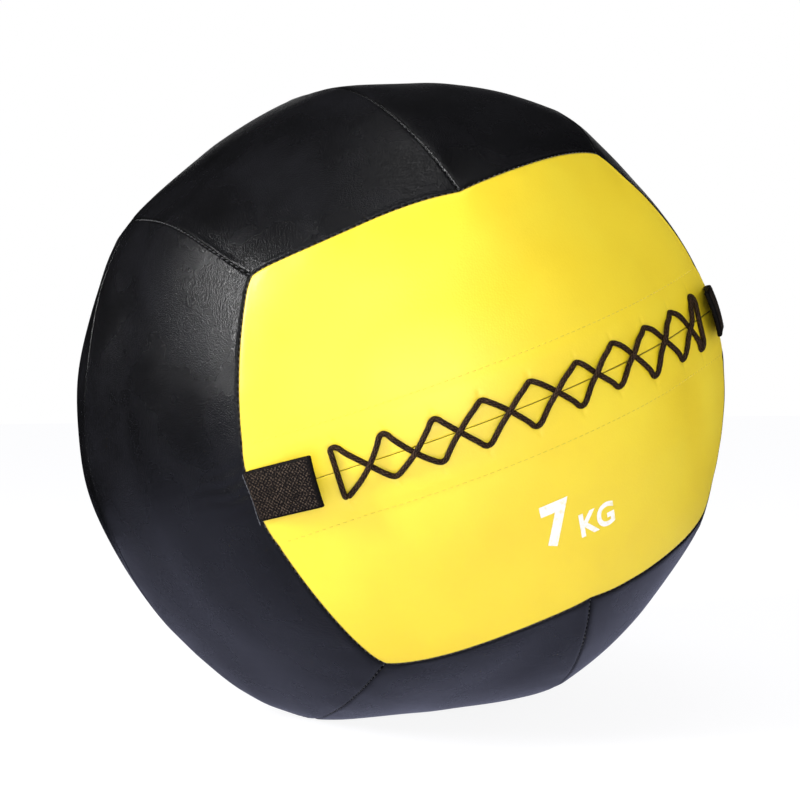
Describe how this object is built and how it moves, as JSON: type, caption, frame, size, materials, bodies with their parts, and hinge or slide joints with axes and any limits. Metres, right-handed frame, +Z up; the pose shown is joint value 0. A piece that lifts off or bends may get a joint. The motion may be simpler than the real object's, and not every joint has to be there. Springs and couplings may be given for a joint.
{
  "type": "wall ball",
  "caption": "Soft weighted exercise ball of stitched leather panels, with a laced slit across one two-panel face and a webbing tab at each end of it.",
  "frame": {"origin": "middle of the flat that the ball lies on, on the floor, straight below the ball's centre", "axes": "+Z up; -Y out of the laced face; +X to the right of someone who faces the laced face, whose lacing rises 20 degrees to that side"},
  "size_m": [0.3537, 0.3559, 0.34],
  "materials": {
    "yellow_leather": "satin synthetic leather",
    "black_leather": "satin synthetic leather",
    "lace_cord": "braided cord",
    "webbing": "coarse woven webbing",
    "lining": "woven lining",
    "wadding": "packed cotton waste",
    "canvas": "sewn canvas",
    "iron_sand": "loose grains"
  },
  "bodies": {
    "ball": {"lace_panel_upper": "yellow_leather", "lace_panel_lower": "yellow_leather", "side_panel_left_front": "black_leather", "side_panel_left_back": "black_leather", "side_panel_right_front": "black_leather", "side_panel_right_back": "black_leather", "top_panel_left": "black_leather", "top_panel_right": "black_leather", "bottom_panel_left": "black_leather", "bottom_panel_right": "black_leather", "back_panel_upper": "black_leather", "back_panel_lower": "black_leather", "lace": "lace_cord", "lace_facing_upper": "lining", "lace_facing_lower": "lining", "lace_tongue": "lining", "tab_tail_left": "webbing", "tab_tail_right": "webbing", "wadding_upper": "wadding", "wadding_lower": "wadding", "ballast_bag_upper": "canvas", "ballast_bag_lower": "canvas", "ballast": "iron_sand"},
    "left_tab": {"tab_left": "webbing"},
    "right_tab": {"tab_right": "webbing"}
  },
  "joints": [
    {"name": "tab_hinge_left", "type": "hinge", "parent": "ball", "child": "left_tab", "pos_m": [-0.12476, -0.11932, 0.12329], "axis": [0.342, 0, -0.9397], "range_deg": [-8, 170], "stiffness_Nm_per_rad": 0.02},
    {"name": "tab_hinge_right", "type": "hinge", "parent": "ball", "child": "right_tab", "pos_m": [0.12476, -0.11932, 0.21411], "axis": [-0.342, 0, 0.9397], "range_deg": [-8, 170], "stiffness_Nm_per_rad": 0.02}
  ]
}
